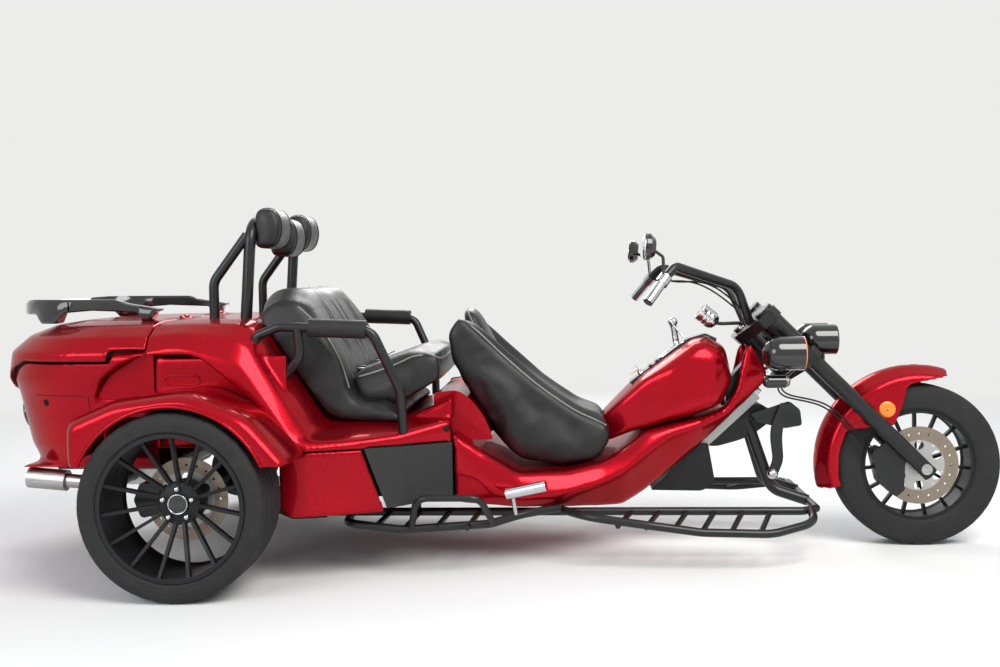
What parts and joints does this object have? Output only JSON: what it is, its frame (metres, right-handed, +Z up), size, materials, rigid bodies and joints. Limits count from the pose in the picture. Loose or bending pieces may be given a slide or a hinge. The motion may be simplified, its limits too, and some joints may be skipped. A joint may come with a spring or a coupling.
{
  "type": "motorized trike",
  "caption": "Three-seat motorized trike with a raked front fork, two wide driven rear wheels, opening trunk lid and bucket seats.",
  "frame": {"origin": "on the ground, under the middle of the overall length and width", "axes": "+X forward, +Y to the rider's left, +Z up"},
  "size_m": [3.7318, 1.757, 1.314],
  "materials": {
    "red_paint": "deep red metallic lacquer",
    "black_frame": "satin black powder coat",
    "black_wheel": "satin black",
    "tyre_rubber": "worn black rubber",
    "steel": "brushed",
    "disc_steel": "ground, heat tinted",
    "chrome": "polished",
    "black_plastic": "grained",
    "gloss_black": "gloss",
    "leather": "soft black",
    "foam_rubber": "matt",
    "engine_iron": "bare",
    "aluminium": "raw fins",
    "lamp_red": "clear red"
  },
  "bodies": {
    "chassis": {"armrest_frames": "black_frame", "armrest_pads": "foam_rubber", "dash_trim": "gloss_black", "driver_backrest": "leather", "engine_block": "engine_iron", "exhausts": "steel", "foot_pegs": "chrome", "footboards": "black_frame", "front_fairing": "red_paint", "front_seat": "leather", "fuel_tank": "red_paint", "head_pads": "leather", "main_frame": "black_frame", "mesh_panels": "black_plastic", "passenger_boards": "black_frame", "radiator": "aluminium", "rear_axle": "engine_iron", "rear_body": "red_paint", "rear_calipers": "black_frame", "rear_cushion": "leather", "rear_fenders": "red_paint", "rear_seat": "leather", "roll_bar": "black_frame", "side_skirts": "red_paint", "tail_lamps": "lamp_red", "trunk_tub": "red_paint"},
    "front_wheel": {"front_tyre": "tyre_rubber", "front_rim": "black_wheel", "front_disc": "disc_steel"},
    "rear_wheel_left": {"rear_tyre_left": "tyre_rubber", "rear_rim_left": "black_wheel", "rear_disc_left": "disc_steel"},
    "rear_wheel_right": {"rear_tyre_right": "tyre_rubber", "rear_rim_right": "black_wheel", "rear_disc_right": "disc_steel"},
    "steering": {"fork_legs": "black_frame", "triple_clamps": "black_frame", "front_spindle": "steel", "front_caliper": "black_frame", "front_fender": "red_paint", "handlebar": "black_frame", "grips": "chrome", "mirrors": "gloss_black", "instrument_pod": "chrome", "lamps": "gloss_black", "indicators": "gloss_black"},
    "trunk_lid": {"trunk_lid": "red_paint", "lid_rail": "gloss_black"}
  },
  "joints": [
    {"name": "steering", "type": "hinge", "parent": "chassis", "child": "steering", "pos_m": [0.9801, 0, 0.7514], "axis": [-0.7071, 0, 0.7071], "range_deg": [-30, 30]},
    {"name": "front_wheel", "type": "hinge", "parent": "steering", "child": "front_wheel", "pos_m": [1.5564, 0, 0.3095], "axis": [0, 1, 0], "continuous": true},
    {"name": "rear_wheel_left", "type": "hinge", "parent": "chassis", "child": "rear_wheel_left", "pos_m": [-1.0649, 0.7575, 0.314], "axis": [0, 1, 0], "continuous": true},
    {"name": "rear_wheel_right", "type": "hinge", "parent": "chassis", "child": "rear_wheel_right", "pos_m": [-1.0649, -0.7575, 0.314], "axis": [0, 1, 0], "continuous": true},
    {"name": "trunk_lid", "type": "hinge", "parent": "chassis", "child": "trunk_lid", "pos_m": [-1.2204, 0, 0.915], "axis": [0, 1, 0], "range_deg": [0, 60]}
  ]
}
